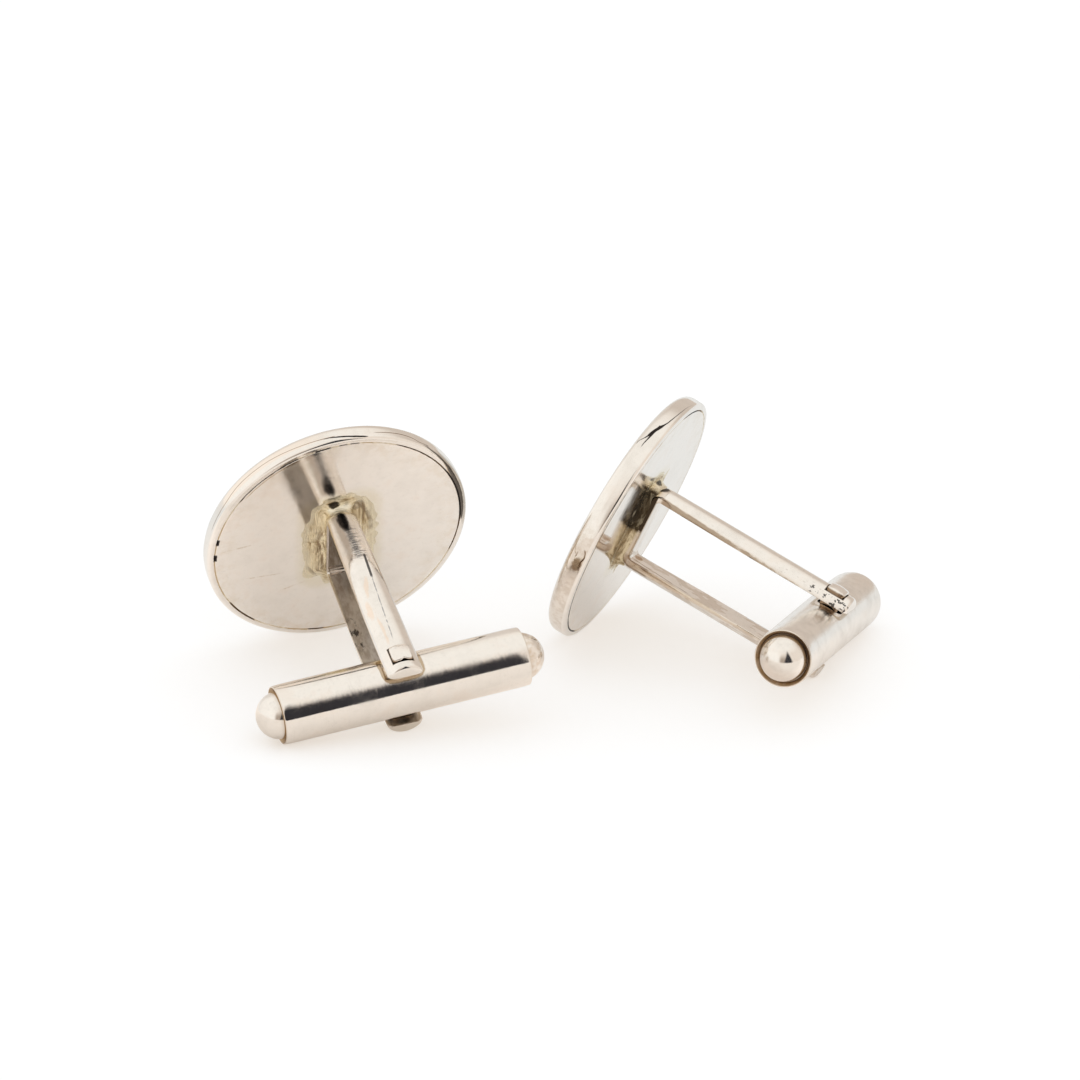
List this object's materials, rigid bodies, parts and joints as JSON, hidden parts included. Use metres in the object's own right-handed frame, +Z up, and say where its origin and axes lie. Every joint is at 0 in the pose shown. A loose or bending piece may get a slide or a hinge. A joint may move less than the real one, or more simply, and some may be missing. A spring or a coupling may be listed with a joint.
{
  "type": "cufflink pair",
  "caption": "Pair of round silver cufflinks with a back plate, a half-round wire fork, and a swivel bar that turns and clicks on a square pin.",
  "frame": {"origin": "centre of the pair's box, on the table", "axes": "+X from the left link to the right one, +Y away from the viewer, +Z up"},
  "size_m": [0.0478, 0.0326, 0.018],
  "materials": {
    "silver": "polished silver, finely scratched by wear",
    "plate_silver": "polished silver with faint polishing lines",
    "ball_silver": "polished silver",
    "pin_silver": "peened silver",
    "solder": "pale yellow silver solder, slightly rough",
    "spring_steel": "blued strip"
  },
  "bodies": {
    "heads": {"left_front_shell": "silver", "left_back_plate": "plate_silver", "left_rim_solder": "solder", "left_fork": "silver", "left_fork_solder": "solder", "left_pivot_pin": "pin_silver", "right_front_shell": "silver", "right_back_plate": "plate_silver", "right_rim_solder": "solder", "right_fork": "silver", "right_fork_solder": "solder", "right_pivot_pin": "pin_silver"},
    "left_bar": {"left_swivel_tube": "silver", "left_end_plug_a": "ball_silver", "left_end_plug_b": "ball_silver", "left_leaf_spring": "spring_steel"},
    "right_bar": {"right_swivel_tube": "silver", "right_end_plug_a": "ball_silver", "right_end_plug_b": "ball_silver", "right_leaf_spring": "spring_steel"}
  },
  "joints": [
    {"name": "left_bar_turn", "type": "hinge", "parent": "heads", "child": "left_bar", "pos_m": [-0.00966, -0.01136, 0.00345], "axis": [-0.0177, -0.3812, 0.9243], "continuous": true, "deforming": ["left_leaf_spring"]},
    {"name": "right_bar_turn", "type": "hinge", "parent": "heads", "child": "right_bar", "pos_m": [0.01937, 0.00176, 0.00344], "axis": [0.39, 0.0326, 0.9202], "continuous": true, "deforming": ["right_leaf_spring"]}
  ]
}
